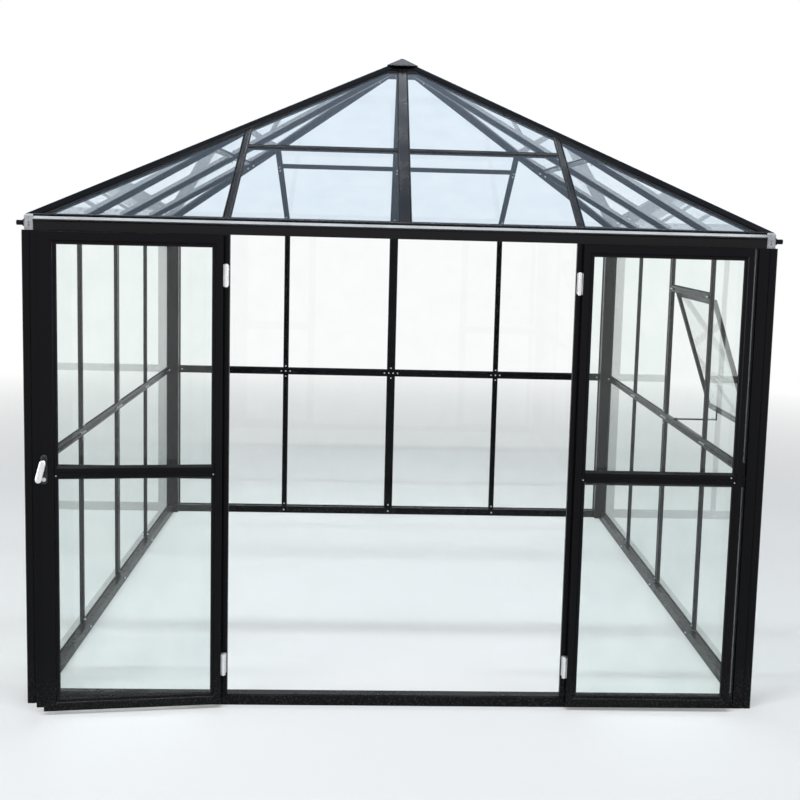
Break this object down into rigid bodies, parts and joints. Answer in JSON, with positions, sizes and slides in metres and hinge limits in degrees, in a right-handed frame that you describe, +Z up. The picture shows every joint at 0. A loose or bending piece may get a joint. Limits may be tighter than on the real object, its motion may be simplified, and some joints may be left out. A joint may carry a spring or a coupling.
{
  "type": "glass greenhouse",
  "caption": "Square free-standing glass greenhouse with a pyramid roof, eave gutters, a propped side vent and a pair of doors that fold back against the front wall.",
  "frame": {"origin": "middle of the front sill's underside, on the ground in the doorway", "axes": "+X to the right seen from in front, +Y from the doorway towards the rear wall, +Z up"},
  "size_m": [3.3069, 3.2043, 2.892],
  "materials": {
    "black_frame": "satin black powder-coated aluminium",
    "clear_glass": "clear toughened glass",
    "bright_steel": "satin stainless steel",
    "grey_plastic": "light grey moulded plastic"
  },
  "bodies": {
    "house": {"front_sill": "black_frame", "base_rails": "black_frame", "corner_posts": "black_frame", "door_jambs": "black_frame", "front_rails": "black_frame", "front_glass": "clear_glass", "right_bars": "black_frame", "right_rails": "black_frame", "right_glass": "clear_glass", "rear_bars": "black_frame", "rear_rails": "black_frame", "rear_glass": "clear_glass", "left_bars": "black_frame", "left_rails": "black_frame", "left_glass": "clear_glass", "front_gutter": "black_frame", "right_gutter": "black_frame", "rear_gutter": "black_frame", "left_gutter": "black_frame", "centre_rafters": "black_frame", "hip_rafters": "black_frame", "jack_rafters": "black_frame", "roof_cross_bars": "black_frame", "front_roof_glass": "clear_glass", "right_roof_glass": "clear_glass", "rear_roof_glass": "clear_glass", "left_roof_glass": "clear_glass", "apex_hub": "black_frame", "apex_cap": "black_frame", "vent_sash": "black_frame", "vent_glass": "clear_glass", "vent_stay": "black_frame", "jamb_hinges": "bright_steel", "rail_brackets": "black_frame", "gutter_corners": "grey_plastic", "gutter_outlets": "black_frame"},
    "left_door": {"left_door_stiles": "black_frame", "left_door_rails": "black_frame", "left_door_glass": "clear_glass", "left_door_hinges": "bright_steel", "left_door_handle": "bright_steel"},
    "right_door": {"right_door_stiles": "black_frame", "right_door_rails": "black_frame", "right_door_glass": "clear_glass", "right_door_hinges": "bright_steel"}
  },
  "joints": [
    {"name": "left_door_hinge", "type": "hinge", "parent": "house", "child": "left_door", "pos_m": [-0.713, -0.0435, 0], "axis": [0, 0, 1], "range_deg": [0, 173.5]},
    {"name": "right_door_hinge", "type": "hinge", "parent": "house", "child": "right_door", "pos_m": [0.713, -0.0435, 0], "axis": [0, 0, 1], "range_deg": [-179.5, 0]}
  ]
}
